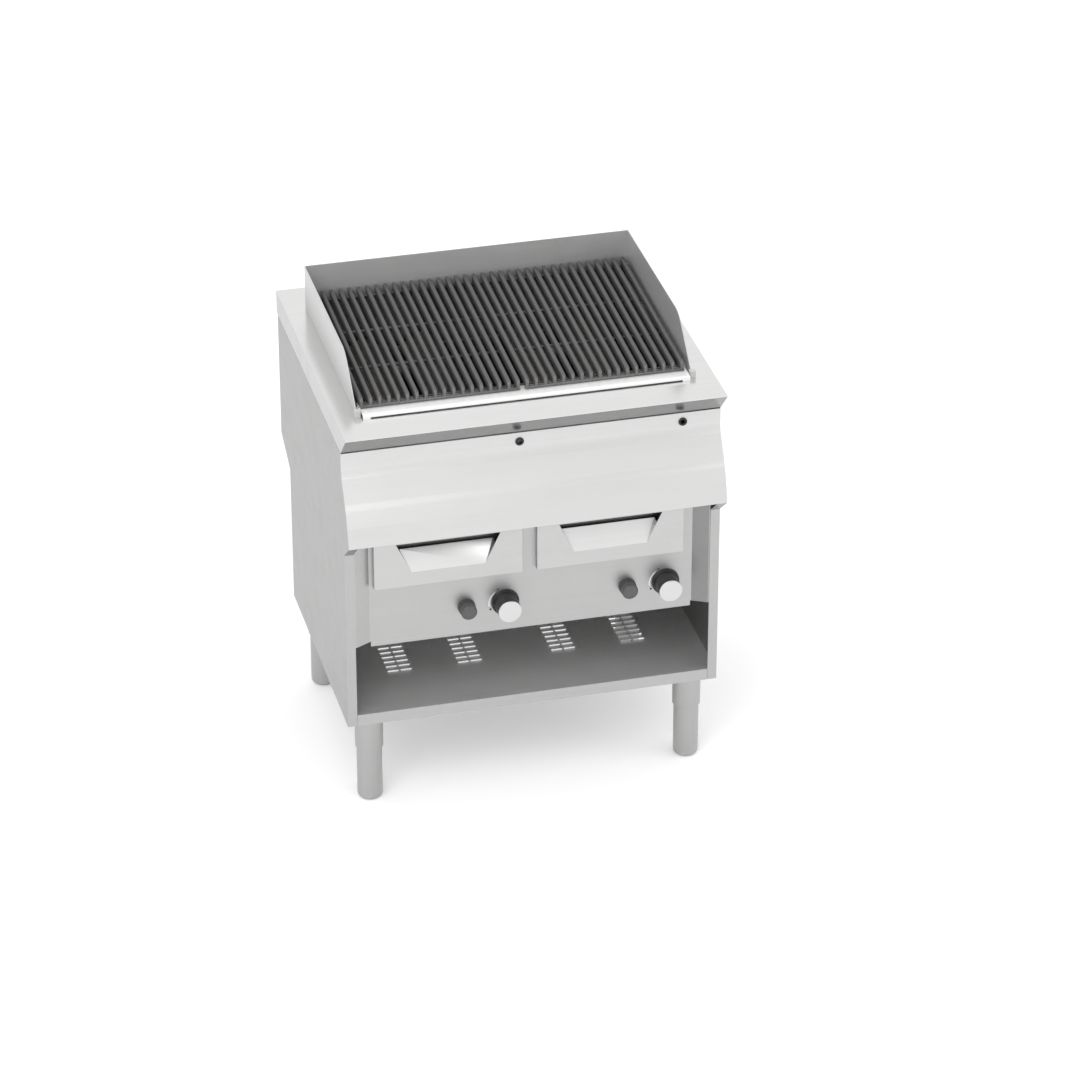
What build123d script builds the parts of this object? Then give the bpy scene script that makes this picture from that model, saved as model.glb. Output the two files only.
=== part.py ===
from build123d import *
import math
import os

# A free-standing gas char grill: cast-iron grate over a firebox with two burners, a water
# drawer under each, gas controls below the drawers, and an open storage cabinet on four legs.
# +Z is up, -Y is the cook's side, the origin is on the floor under the middle of the grill.
# "Setback" is the distance behind the worktop's front edge.

# Driving dimensions, millimetres
width = 800.0
worktop_depth = 700.0
worktop_height = 900.0
guard_height = 95.0
fascia_reach = 13.0
sheet = 1.5
gap = 0.1

half_width = width / 2
inner_x = half_width - sheet
nose_y = -(worktop_depth - fascia_reach) / 2

# Heights
cabinet_floor_z = 202.0
shelf_z = 228.0
ceiling_z = 392.0
control_z = 447.0
manifold_z = 418.0
drawer_z = (520.0, 640.0)
tray_z = (525.4, 628.0)
firebox_z = 648.0
burner_z = 745.0
radiant_z = 794.0
nose_z = 848.0

# Setbacks
stile_d = 39.0
panel_d = 57.0
drawer_d = 45.0
cabinet_back_d = 602.0
upper_back_d = 690.0
firebox_d = (150.0, 602.0)
guard_back_d = 612.0
grate_d = (126.0, 602.0)

# Layout across the width
stile_width = 20.0
panel_half = 346.0
module_pitch = 346.0
drawer_shift = -6.5
firebox_half = 343.0
opening_half = 345.0
guard_half = 354.0
leg_x = 347.0
leg_setbacks = (83.0, 560.0)
modules = {
    "left": {"centre": -module_pitch / 2, "riser": -7.0},
    "right": {"centre": module_pitch / 2, "riser": 331.0},
}
knob_offset = 116.0
button_offset = 33.0
sight_offset = 146.0
burner_leg_offset = 65.0

# Grate
rib_count = 36
rib_pitch = 19.33
rib_top = 8.4
rib_foot = 5.0
rib_height = 22.0
grate_front_z = 903.0
grate_slope = 1.56

# Travels
knob_travel = 5.0
button_travel = 8.0

parts = {}


def slab(x, d, z):
    """A box between two values each of x, setback and height."""
    centre = ((x[0] + x[1]) / 2, nose_y + (d[0] + d[1]) / 2, (z[0] + z[1]) / 2)
    return Pos(*centre) * Box(x[1] - x[0], d[1] - d[0], z[1] - z[0])


def both_sides(shape):
    """A shape and its mirror image about the grill's middle plane."""
    return shape + mirror(shape, Plane.YZ)


def rod(centre, radius, d):
    """A cylinder along Y; centre is (x, z)."""
    middle = Pos(centre[0], nose_y + (d[0] + d[1]) / 2, centre[1])
    return middle * Rot(90, 0, 0) * Cylinder(radius, d[1] - d[0])


def post(centre, radius, z):
    """A cylinder along Z; centre is (x, setback)."""
    middle = Pos(centre[0], nose_y + centre[1], (z[0] + z[1]) / 2)
    return middle * Cylinder(radius, z[1] - z[0])


def side_path(points, bend):
    """A folded line seen from the side; points are (setback, height)."""
    return FilletPolyline(*[(nose_y + d, z) for d, z in points], radius=bend)


def parallel(path, distance):
    """Edges, start and end of a line moved sideways, to its left where distance is positive."""
    if distance == 0:
        return path.edges(), path @ 0, path @ 1
    side = Side.LEFT if distance > 0 else Side.RIGHT
    moved = offset(path, amount=abs(distance), side=side, closed=False)
    start, end = sorted((moved @ 0, moved @ 1), key=lambda point: (point - path @ 0).length)
    return moved.edges(), start, end


def ribbon(path, near, far):
    """Face between two lines parallel to a path."""
    near_edges, near_start, near_end = parallel(path, near)
    far_edges, far_start, far_end = parallel(path, far)
    ends = [Edge.make_line(near_start, far_start), Edge.make_line(near_end, far_end)]
    return make_face(near_edges + far_edges + ends)


def folded(path, x, near, far):
    """Sheet bent along a side view line, between two distances to the left of it."""
    return extrude(Plane.YZ.offset(x[0]) * ribbon(path, near, far), amount=x[1] - x[0], dir=(1, 0, 0))


def folded_plan(points, z, bend):
    """Upright sheet bent along a plan view line of (x, setback) points, behind it."""
    path = FilletPolyline(*[(x, nose_y + d) for x, d in points], radius=bend)
    outline = ribbon(path, 0, sheet)
    return extrude(Plane.XY.offset(z[0]) * outline, amount=z[1] - z[0], dir=(0, 0, 1))


def plate(edges, x):
    """Flat plate whose side view outline is a closed run of edges."""
    return extrude(Plane.YZ.offset(x[0]) * make_face(edges), amount=x[1] - x[0], dir=(1, 0, 0))


def prism(points, x):
    """Straight-sided solid with a side view outline of (setback, height) points."""
    outline = Polyline(*[(nose_y + d, z) for d, z in points], close=True)
    return plate(outline.edges(), x)


def front_prism(points, d):
    """Straight-sided solid with a front view outline of (x, height) points."""
    outline = make_face(Polyline(*points, close=True).edges())
    face = Plane(origin=(0, nose_y + d[0], 0), x_dir=(1, 0, 0), z_dir=(0, -1, 0)) * outline
    return extrude(face, amount=d[1] - d[0], dir=(0, 1, 0))


def route(points):
    """A smooth route through (x, setback, height) corners, each arc as large as its runs allow."""
    corners = [Vector(x, nose_y + d, z) for x, d, z in points]
    runs = [b - a for a, b in zip(corners, corners[1:])]
    radii = []
    for before, after in zip(runs, runs[1:]):
        half_turn = math.radians(before.get_angle(after)) / 2
        radii.append(0.45 * min(before.length, after.length) / math.tan(half_turn))
    return FilletPolyline(*corners, radius=radii)


def tube(path, radius, bore=0.0):
    """A round tube, or a solid rod, along a route."""
    section = Circle(radius) - Circle(bore) if bore else Circle(radius)
    start = Plane(origin=path @ 0, z_dir=path % 0)
    return sweep(start * section, path=path)


# ---------------------------------------------------------------------------------------
# Body panels
# ---------------------------------------------------------------------------------------

fascia_corners = [(50, 846), (50, 800), (5, 722), (-fascia_reach, 657)]
fascia_bends = [44, 200]
fascia_line = side_path(fascia_corners, fascia_bends)
back_corners = [(upper_back_d, 846), (upper_back_d, 562), (cabinet_back_d, 517),
                (cabinet_back_d, cabinet_floor_z)]
back_line = side_path(back_corners, 4)
nose_line = side_path([(0, worktop_height), (0, worktop_height - 1), (50, nose_z)], 0.5)


def fascia_panel():
    """Blank front sheet, upright at the top, with a return along its lower edge."""
    with_return = side_path(fascia_corners + [(10, 657)], fascia_bends + [3])
    panel = folded(fascia_line, (-half_width, half_width), 0, sheet)
    panel += folded(with_return, (-377, 377), 0, sheet)
    for module in modules.values():
        panel -= rod((module["centre"] + sight_offset, 826), 7.1, (48, 53))
    return panel


def side_panel():
    """Left-hand side sheet with its stile, top, bottom and rear flanges."""
    clearance = sheet + gap
    front_edges, front_top, front_foot = parallel(fascia_line, clearance)
    back_edges, back_top, back_foot = parallel(back_line, -clearance)
    top_z = nose_z - 0.4
    lower = Polyline(front_foot, (nose_y + stile_d, 615), (nose_y + stile_d, cabinet_floor_z), back_foot)
    upper = Polyline(back_top, (back_top.X, top_z), (front_top.X, top_z), front_top)
    panel = plate(front_edges + back_edges + lower.edges() + upper.edges(), (-half_width, -inner_x))
    stile = side_path([(stile_d, cabinet_floor_z), (stile_d, 615), (-9.5, 655.5)], 2)
    inner = (-inner_x - 0.5, -(half_width - stile_width))
    panel += folded(stile, inner, -sheet, 0)
    panel += folded(back_line, inner, -clearance - sheet, -clearance)
    panel += slab(inner, (56, 686), (top_z - sheet, top_z))
    panel += slab(inner, (stile_d + 1, cabinet_back_d - 3), (cabinet_floor_z, cabinet_floor_z + sheet))
    return panel


def back_panel():
    """Rear sheet, stepped in from the deep upper body to the cabinet."""
    panel = folded(back_line, (-half_width, half_width), -sheet, 0)
    return panel - rod((inlet_x, manifold_z), 12, (590, 610))


def louvre(x, d):
    """The slot cut and the raised hood of one floor louvre."""
    slot = slab((x - 12, x + 12), (d, d + 9), (shelf_z - 5, shelf_z + 1))
    hood = prism([(d - 1, shelf_z + 5), (d + 11, shelf_z - 0.5), (d + 11, shelf_z - 1.5),
                  (d - 1, shelf_z + 3.8)], (x - 12.5, x + 12.5))
    return slot, hood


def base_shelf():
    """Cabinet floor with its front rail, rear upstand and four groups of louvres."""
    rail_half = half_width - stile_width - 0.5
    under = shelf_z - sheet
    shelf = slab((-inner_x + 0.2, inner_x - 0.2), (stile_d + 1.8, 598.5), (under, shelf_z))
    shelf += slab((-rail_half, rail_half), (stile_d, stile_d + 3), (under, shelf_z))
    shelf += slab((-rail_half, rail_half), (stile_d, stile_d + sheet), (cabinet_floor_z, shelf_z))
    shelf += slab((-rail_half, rail_half), (stile_d, stile_d + 9),
                  (cabinet_floor_z, cabinet_floor_z + sheet))
    shelf += slab((-inner_x + 0.2, inner_x - 0.2), (597, 598.5), (under, 260))
    slots, hoods = [], []
    for group_x in (-254, -101, 104, 257):
        for column in (-14, 14):
            for row in range(9):
                slot, hood = louvre(group_x + column, 192 + 19 * row)
                slots.append(slot)
                hoods.append(hood)
    return shelf - slots + hoods


def worktop():
    """Pressed top with pointed nose, side and rear skirts and a rimmed cut-out."""
    top = slab((-half_width, half_width), (0, worktop_depth), (worktop_height - sheet, worktop_height))
    top += folded(nose_line, (-half_width, half_width), 0, sheet)
    skirt = [nose_line @ 1, Vector(nose_y + worktop_depth, nose_z),
             Vector(nose_y + worktop_depth, worktop_height), nose_line @ 0]
    skirt_edges = nose_line.edges() + Polyline(*skirt).edges()
    top += both_sides(plate(skirt_edges, (inner_x, half_width)))
    top += slab((-half_width, half_width), (worktop_depth - sheet, worktop_depth),
                (nose_z, worktop_height))
    rim_z = (worktop_height - 10, worktop_height)
    rim = opening_half + sheet
    top += slab((-rim, rim), (92 - sheet, 604 + sheet), rim_z)
    return top - slab((-opening_half, opening_half), (92, 604), (880, 910))


def splash_guard():
    """Low screen round the back and sides of the grate, sloping down to small front posts."""
    top_z = worktop_height + guard_height
    outline = side_path([(104, worktop_height), (210, top_z), (guard_back_d, top_z)], 70)
    closing = Polyline(outline @ 1, Vector(nose_y + guard_back_d, worktop_height), outline @ 0)
    side = plate(outline.edges() + closing.edges(), (guard_half - sheet, guard_half))
    foot_z = (worktop_height, worktop_height + sheet)
    side += slab((opening_half + 0.6, guard_half - 1), (150, guard_back_d - 1), foot_z)
    side += slab((guard_half - 7, guard_half + 5), (96, 108), (worktop_height, worktop_height + 14))
    guard = both_sides(side)
    guard += slab((-guard_half, guard_half), (guard_back_d - sheet, guard_back_d),
                  (worktop_height, top_z))
    guard += slab((-guard_half + 1, guard_half - 1), (605, guard_back_d - 1), foot_z)
    return guard


def fat_gutter():
    """Bright channel across the front of the grate; its lip stands on a foot at each end."""
    line = side_path([(86, 902.5), (86, 907.5), (92, 908.5), (118, 904.5), (122, 901.8), (146, 901.8)],
                     [2, 3, 3, 3])
    half = opening_half - 0.5
    gutter = folded(line, (-half, half), -sheet, 0)
    end = prism([(92, 907.5), (118, 903.5), (122, 900.8), (145, 900.8), (145, 906), (120, 908),
                 (93, 910)], (half - sheet, half))
    foot = slab((half - 16, half), (86, 86 + sheet), (worktop_height, 904))
    lug = slab((half - 1, half + 2.1), (112, 140), (worktop_height, worktop_height + sheet))
    return gutter + both_sides(end) + both_sides(foot) + both_sides(lug)


# ---------------------------------------------------------------------------------------
# Control panel, drawers and what carries them
# ---------------------------------------------------------------------------------------


def control_panel():
    """Recessed front sheet with angled cheeks, drawer openings and control holes."""
    wing = half_width - stile_width - 2
    plan = [(-inner_x + 0.5, stile_d + 1.7), (-wing, stile_d + 1.7), (-panel_half, panel_d),
            (panel_half, panel_d), (wing, stile_d + 1.7), (inner_x - 0.5, stile_d + 1.7)]
    panel = folded_plan(plan, (391, 645), 2)
    middle = (-panel_half + 2, panel_half - 2)
    panel += slab(middle, (panel_d, panel_d + sheet), (380, 392))
    panel += slab(middle, (panel_d, panel_d + 9), (380, 380 + sheet))
    panel += slab(middle, (panel_d, panel_d + 15), (645 - sheet, 645))
    for module in modules.values():
        middle_x = module["centre"] + drawer_shift
        panel -= slab((middle_x - 152, middle_x + 152), (50, 62), (524, 634))
        panel -= rod((module["centre"] + knob_offset, control_z), 6.5, (50, 62))
        panel -= rod((module["centre"] + button_offset, control_z), 10.6, (50, 62))
    return panel


def finger_pull(x):
    """The cut through a drawer's front and the pressed pocket behind it."""
    low, high, slot_top = 553.0, 598.0, 621.0
    depth = 22.0

    def outline(grow):
        return [(x - 78.5 - grow, low - grow), (x + 78.5 + grow, low - grow),
                (x + 110 + grow, slot_top), (x - 110 - grow, slot_top)]

    def wedge(grow):
        return [(drawer_d, low - grow), (drawer_d + depth + grow, high - grow),
                (drawer_d + depth + grow, high), (drawer_d, high)]

    across = (x - 120, x + 120)
    pocket = front_prism(outline(sheet), (drawer_d, drawer_d + 30)) & prism(wedge(sheet), across)
    hollow = front_prism(outline(0), (drawer_d - 1, drawer_d + 30))
    hollow &= prism([(drawer_d - 2, low - 1), (drawer_d, low), (drawer_d + depth, high),
                     (drawer_d + depth, slot_top + 1), (drawer_d - 2, slot_top + 1)], across)
    return hollow, pocket - hollow


def drawer_front(x):
    """Folded front with returned edges and a finger pull pressed into it."""
    edge, back = 157.5, drawer_d + 11.5
    low, high = drawer_z
    front = slab((x - edge, x + edge), (drawer_d, back), (low, high))
    front -= slab((x - edge + sheet, x + edge - sheet), (drawer_d + sheet, back + 1),
                  (low + sheet, high - sheet))
    hollow, pocket = finger_pull(x)
    return front - hollow + pocket


def drawer_tray(x):
    """Open water tray; its side walls run forward to carry the front."""
    low, high = tray_z
    tray = slab((x - 150, x + 150), (75, 560), (low, high))
    tray -= slab((x - 150 + sheet, x + 150 - sheet), (75 + sheet, 560 - sheet), (low + sheet, high + 1))
    for side in (-1, 1):
        wall = sorted((x + side * 150, x + side * (150 - sheet)))
        tray += slab(wall, (drawer_d + sheet, 80), (low, high))
    return tray


def drawer_rail(x, side):
    """Angle that one edge of a tray slides on."""
    foot = sorted((x + side * 137, x + side * 153.5))
    wall = sorted((x + side * 152, x + side * 153.5))
    d = (panel_d + sheet, 596)
    return slab(foot, d, (523.8, 523.8 + sheet)) + slab(wall, d, (523.8, 560))


def rear_cross_member():
    """Angle across the back of the cabinet that carries the drawer rails."""
    across = (-inner_x + 0.5, inner_x - 0.5)
    return slab(across, (575, 598), (522.3, 523.8)) + slab(across, (596.5, 598), (490, 523.8))


def compartment_ceiling():
    """Sheet over the storage space, with air slots and a folded front lip."""
    across = (-inner_x + 0.2, inner_x - 0.2)
    panel = slab(across, (60, 598.5), (ceiling_z, ceiling_z + sheet))
    panel += slab((-panel_half + 4, panel_half - 4), (60, 60 + sheet), (382, ceiling_z + sheet))
    slots = [slab((x - 30, x + 30), (d, d + 8), (ceiling_z - 5, ceiling_z + 5))
             for x in range(-300, 301, 100) for d in (250, 300, 350)]
    return panel - slots


# ---------------------------------------------------------------------------------------
# Legs
# ---------------------------------------------------------------------------------------

bolt_offsets = [(dx, dy) for dx in (-28, 28) for dy in (-28, 28)]


def leg_channel(leg_d):
    """Channel under the shelf that two legs bolt to."""
    low = leg_d - 34
    across = (-379.7, 379.7)
    channel = slab(across, (low, low + 72), (cabinet_floor_z, shelf_z - sheet - gap))
    channel -= slab((-390, 390), (low + 2, low + 70), (cabinet_floor_z + 2, shelf_z))
    holes = [post((side * leg_x + dx, leg_d + dy), 3.3, (195, 210))
             for side in (-1, 1) for dx, dy in bolt_offsets]
    return channel - holes


def leg_sleeve(x, d):
    """Fixed upper tube of a leg with its square mounting plate."""
    sleeve = post((x, d), 30, (125, 199)) - post((x, d), 28, (135, 200))
    sleeve -= post((x, d), 27.08, (120, 136))
    top = slab((x - 38, x + 38), (d - 38, d + 38), (199, cabinet_floor_z)) - post((x, d), 12, (190, 210))
    holes = [post((x + dx, d + dy), 3.3, (190, 210)) for dx, dy in bolt_offsets]
    return sleeve + (top - holes)


def leg_foot(x, d):
    """Adjustable lower tube of a leg with a rounded closed end."""
    foot = post((x, d), 27, (0, 190))
    foot = fillet(foot.edges().group_by(Axis.Z)[0], 8)
    return foot - post((x, d), 24, (12, 191))


def leg_bolts():
    """Hexagon bolts through the leg plates into the channels."""
    bolts = []
    for side in (-1, 1):
        for leg_d in leg_setbacks:
            for dx, dy in bolt_offsets:
                x, d = side * leg_x + dx, leg_d + dy
                head = extrude(Plane((x, nose_y + d, 195)) * RegularPolygon(5.5, 6), amount=4)
                bolts.append(head + post((x, d), 3, (199, 212)))
    return bolts


# ---------------------------------------------------------------------------------------
# Firebox, burners and grate
# ---------------------------------------------------------------------------------------


def firebox():
    """Box of sheet round the burners, open at the top and bottom, with drip guides."""
    wall = 2.0
    near, far = firebox_d
    inner = firebox_half - wall
    box = slab((-firebox_half, firebox_half), (near, near + wall), (firebox_z, 903.6))
    box += slab((-firebox_half, firebox_half), (far - wall, far), (firebox_z, 915.85))
    box += both_sides(slab((inner, firebox_half), (near, far), (firebox_z, 898)))
    ledge_z = nose_z - 0.4
    box += both_sides(slab((inner + 1, inner_x - 1), (near + 5, far - 12), (ledge_z, ledge_z + sheet)))
    length = (near + 1, far - 1)
    box += front_prism([(342, 690), (342, 687), (316, 650), (313, 650)], length)
    box += front_prism([(-342, 690), (-342, 687), (-327, 650), (-324, 650)], length)
    box += front_prism([(-7, 692), (21, 650), (18, 650), (-7, 687.5), (-32, 650), (-35, 650)], length)
    for module in modules.values():
        centre = module["centre"]
        through = (near - 5, near + 5)
        box -= rod((centre - burner_leg_offset, burner_z), 22.6, through)
        box -= rod((centre + 95, 735), 3, through)
        box -= rod((centre + 110, 755), 4, through)
        box -= rod((centre + sight_offset, 800), 14, through)
    return box


def burner(x):
    """U-shaped tube burner with an open mixing inlet and two rows of ports on each leg."""
    legs = (x - burner_leg_offset, x + burner_leg_offset)
    bend_d, inlet_d, end_d = 500, 100, 190

    def centre_line(end):
        z = burner_z
        out = Line((legs[0], nose_y + inlet_d, z), (legs[0], nose_y + bend_d, z))
        turn = ThreePointArc(out @ 1, (x, nose_y + bend_d + burner_leg_offset, z),
                             (legs[1], nose_y + bend_d, z))
        return Wire([out.edge(), turn.edge(), Edge.make_line(turn @ 1, (legs[1], nose_y + end, z))])

    inlet = Plane(origin=(legs[0], nose_y + inlet_d, burner_z), z_dir=(0, 1, 0))
    body = sweep(inlet * Circle(22), path=centre_line(end_d))
    body -= sweep(inlet * Circle(20.5), path=centre_line(end_d + sheet))
    ports = [post((leg + side, d), 1.6, (burner_z + 5, burner_z + 25))
             for leg in legs for side in (-8, 8) for d in range(216, 490, 16)]
    return body - ports


def cross_rail(d, z, depth):
    """Angle between the firebox side walls."""
    across = (-firebox_half + 2.2, firebox_half - 2.2)
    return slab(across, (d, d + depth), (z - 2, z)) + slab(across, (d, d + 2), (z - 16, z))


def radiant(x):
    """Inverted-V sheet that shields a burner leg from dripping fat."""
    outline = [(x - 45, radiant_z), (x, radiant_z + 28), (x + 45, radiant_z),
               (x + 42.5, radiant_z), (x, radiant_z + 25.8), (x - 42.5, radiant_z)]
    return front_prism(outline, (170, 590))


def grate(side):
    """One cast-iron half: ribs front to back on four cross bars, rising towards the rear."""
    near, far = grate_d
    foot, top, tall = rib_foot / 2, rib_top / 2, grate_front_z + rib_height
    centres = [side * rib_pitch * (index + 0.5) for index in range(rib_count // 2)]
    block = [front_prism([(x - foot, grate_front_z), (x + foot, grate_front_z),
                          (x + top, tall), (x - top, tall)], grate_d) for x in centres]
    across = sorted((centres[0], centres[-1]))
    bars = [slab(across, (d, d + 8), (grate_front_z, grate_front_z + 5.5))
            for d in (near, 284, 438, far - 12)]
    casting = bars[0] + bars[1:] + block
    outline = side_path([(near, grate_front_z), (near, tall), (far, tall)], 8)
    closing = Polyline(outline @ 1, (nose_y + far, grate_front_z), outline @ 0)
    casting &= plate(outline.edges() + closing.edges(), (-half_width, half_width))
    return casting.rotate(Axis((0, nose_y + near, grate_front_z), (1, 0, 0)), grate_slope)


# ---------------------------------------------------------------------------------------
# Gas and ignition
# ---------------------------------------------------------------------------------------

manifold_d = 84.0
inlet_x = 360.0
inlet_end_d = 640.0
thread_radius = 10.48
pipe_radius = 10.65


def gas_manifold():
    """Pipe that feeds both valves, bent back to the threaded inlet behind the cabinet."""
    line = FilletPolyline((-95, nose_y + manifold_d, manifold_z),
                          (inlet_x, nose_y + manifold_d, manifold_z),
                          (inlet_x, nose_y + 612, manifold_z), radius=40)
    bore_line = FilletPolyline((-91, nose_y + manifold_d, manifold_z),
                               (inlet_x, nose_y + manifold_d, manifold_z),
                               (inlet_x, nose_y + 612, manifold_z), radius=40)
    pipe = tube(line, pipe_radius) + rod((inlet_x, manifold_z), thread_radius, (612, inlet_end_d))
    for module in modules.values():
        x = module["centre"] + knob_offset
        pipe += post((x, manifold_d), 10, (manifold_z, 430))
    pipe -= tube(bore_line, 8)
    pipe -= rod((inlet_x, manifold_z), 8, (612, inlet_end_d + 1))
    for module in modules.values():
        x = module["centre"] + knob_offset
        pipe -= post((x, manifold_d), 4, (manifold_z, 431))
    return pipe


def inlet_locknut():
    """Hexagon nut that clamps the inlet pipe at the back panel."""
    plane = Plane(origin=(inlet_x, nose_y + cabinet_back_d, manifold_z), z_dir=(0, 1, 0))
    nut = extrude(plane * RegularPolygon(17, 6), amount=8)
    return nut - rod((inlet_x, manifold_z), pipe_radius + 0.05, (600, 612))


def gas_valve(x):
    """Brass valve body behind the panel, with its inlet, its outlet and the stepped bore."""
    back = panel_d + sheet
    axis = (x, control_z)
    valve = rod(axis, 20, (back, 61.5)) + rod(axis, 16, (61.5, 98))
    valve += post((x, manifold_d), 8, (430, control_z)) + post((x, manifold_d), 8, (control_z, 475))
    valve -= post((x, manifold_d), 4, (429, 440)) + post((x, manifold_d), 4, (455, 476))
    return valve - rod(axis, 4.05, (back - 1, 77)) - rod(axis, 6.05, (77, 96))


def knob(x):
    """Round black knob with a blind hole for the spindle and a seat for its cap."""
    axis = (x, control_z)
    rear = Plane(origin=(x, nose_y + 50.5, control_z), z_dir=(0, -1, 0))
    body = loft([rear * Circle(26), rear.offset(36.5) * Circle(25)])
    return body - rod(axis, 4.05, (22, 51))


def knob_cap(x):
    """Pale disc on the front of a knob."""
    cap = rod((x, control_z), 24.8, (11.5, 14))
    return fillet(cap.edges().sort_by(Axis.Y)[0], 1)


def ring(x, outer, inner, d):
    """A short tube round a control's axis."""
    return rod((x, control_z), outer, d) - rod((x, control_z), inner, (d[0] - 1, d[1] + 1))


def button_collar(x):
    """Dark collar that the igniter button slides in."""
    return ring(x, 18.6, 17.1, (45, panel_d))


def igniter_button(x):
    """Round push button with the stem that works the igniter."""
    button = rod((x, control_z), 17, (27, 46))
    button = fillet(button.edges().sort_by(Axis.Y)[0], 3)
    return button + rod((x, control_z), 3, (46, 66))


def igniter_body(x):
    """Piezo igniter clamped behind the panel."""
    back = panel_d + sheet
    body = rod((x, control_z), 10.5, (panel_d, 105)) + rod((x, control_z), 14, (back, 64))
    return body - rod((x, control_z), 3.1, (panel_d - 1, 78))


def injector(x):
    """Brass elbow whose nozzle blows into a burner's open end."""
    body = rod((x, burner_z), 9, (72, 96)) + rod((x, burner_z), 4, (96, 104))
    return body + post((x, manifold_d), 7, (728, burner_z))


def supply_tube(centre, riser):
    """Tube from a valve up between the drawers to an injector."""
    valve_x, inlet = centre + knob_offset, centre - burner_leg_offset
    d = manifold_d
    return tube(route([(valve_x, d, 475), (valve_x, d, 503), (riser, d, 503), (riser, d, 690),
                       (inlet, d, 690), (inlet, d, 728)]), 5, 4)


def thermocouple(centre, riser):
    """Thin lead from a valve's back to its tip beside a burner."""
    valve_x, tip = centre + knob_offset, centre + 95
    return tube(route([(valve_x, 98, control_z), (valve_x, 122, control_z), (valve_x + 12, 122, 492),
                       (riser - 6, 115, 492), (riser - 6, 115, 725), (tip, 118, 735),
                       (tip, 210, 735)]), 1.5)


def ignition_lead(centre, riser):
    """Insulated lead from an igniter to its electrode."""
    button_x, tip = centre + button_offset, centre + 110
    return tube(route([(button_x, 105, control_z), (button_x, 140, control_z),
                       (button_x + 45, 140, 474), (riser - 12, 134, 480), (riser + 5, 104, 520),
                       (riser + 5, 100, 715), (tip, 96, 755), (tip, 122, 755)]), 2.5)


def electrode(centre):
    """Ceramic insulator with the spark wire, through the firebox front."""
    axis = (centre + 110, 755)
    return rod(axis, 3.5, (122, 180)), rod(axis, 1, (180, 206))


def sight_bush(x):
    """Black flanged bush in a sight hole."""
    axis = (x, 826)
    return rod(axis, 9, (48, 50)) + rod(axis, 7, (50, 55)) - rod(axis, 5, (47, 56))


def screw_heads(places, d):
    """Pan-head screw heads on the back panel; places are (x, height)."""
    heads = []
    for place in places:
        head = rod(place, 4.5, (d, d + 2.4))
        head = fillet(head.edges().sort_by(Axis.Y)[-1], 1.5)
        heads.append(head)
    return heads


def panel_screws():
    """Screws down both edges of the back panel."""
    upper = [(side * 390, z) for side in (-1, 1) for z in (820, 710, 600)]
    lower = [(side * 390, z) for side in (-1, 1) for z in (480, 350, 220)]
    return screw_heads(upper, upper_back_d) + screw_heads(lower, cabinet_back_d)


# ---------------------------------------------------------------------------------------
# Assembly
# ---------------------------------------------------------------------------------------

parts["worktop"] = worktop()
parts["fascia_panel"] = fascia_panel()
parts["side_panel_left"] = side_panel()
parts["side_panel_right"] = mirror(parts["side_panel_left"], Plane.YZ)
parts["back_panel"] = back_panel()
parts["base_shelf"] = base_shelf()
parts["compartment_ceiling"] = compartment_ceiling()
parts["control_panel"] = control_panel()
parts["rear_cross_member"] = rear_cross_member()
parts["back_panel_screws"] = panel_screws()

parts["splash_guard"] = splash_guard()
parts["fat_gutter"] = fat_gutter()
parts["grate_left"] = grate(-1)
parts["grate_right"] = grate(1)
parts["firebox"] = firebox()
parts["burner_rails"] = [cross_rail(d, 722.8, 15) for d in (200, 470)]
parts["radiant_rails"] = [cross_rail(d, radiant_z, 10) for d in (175, 575)]

for end, leg_d in zip(("front", "rear"), leg_setbacks):
    for name, side in (("left", -1), ("right", 1)):
        parts[f"leg_foot_{end}_{name}"] = leg_foot(side * leg_x, leg_d)
parts["leg_channels"] = [leg_channel(leg_d) for leg_d in leg_setbacks]
parts["leg_sleeves"] = [leg_sleeve(side * leg_x, leg_d) for side in (-1, 1) for leg_d in leg_setbacks]
parts["leg_bolts"] = leg_bolts()

parts["gas_manifold"] = gas_manifold()
parts["inlet_locknut"] = inlet_locknut()

for name, module in modules.items():
    centre = module["centre"]
    drawer_x = centre + drawer_shift
    knob_x, button_x = centre + knob_offset, centre + button_offset
    parts[f"burner_{name}"] = burner(centre)
    parts[f"radiants_{name}"] = [radiant(centre + side * burner_leg_offset) for side in (-1, 1)]
    parts[f"drawer_front_{name}"] = drawer_front(drawer_x)
    parts[f"drawer_tray_{name}"] = drawer_tray(drawer_x)
    parts[f"drawer_rails_{name}"] = [drawer_rail(drawer_x, -1), drawer_rail(drawer_x, 1)]
    parts[f"gas_valve_{name}"] = gas_valve(knob_x)
    parts[f"valve_plunger_{name}"] = rod((knob_x, control_z), 6, (80, 90))
    parts[f"valve_spindle_{name}"] = rod((knob_x, control_z), 4, (23, 80))
    parts[f"knob_{name}"] = knob(knob_x)
    parts[f"knob_cap_{name}"] = knob_cap(knob_x)
    parts[f"igniter_body_{name}"] = igniter_body(button_x)
    parts[f"igniter_button_{name}"] = igniter_button(button_x)
parts["knob_bezels"] = [ring(module["centre"] + knob_offset, 30, 26.5, (49, panel_d))
                        for module in modules.values()]
parts["button_collars"] = [button_collar(module["centre"] + button_offset)
                           for module in modules.values()]
runs = [(module["centre"], module["riser"]) for module in modules.values()]
parts["supply_tubes"] = [supply_tube(*run) for run in runs]
parts["thermocouples"] = [thermocouple(*run) for run in runs]
parts["ignition_leads"] = [ignition_lead(*run) for run in runs]
parts["injectors"] = [injector(module["centre"] - burner_leg_offset) for module in modules.values()]
parts["electrodes"] = [sum(electrode(module["centre"]), Part()) for module in modules.values()]
parts["sight_bushes"] = [sight_bush(module["centre"] + sight_offset) for module in modules.values()]

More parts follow.
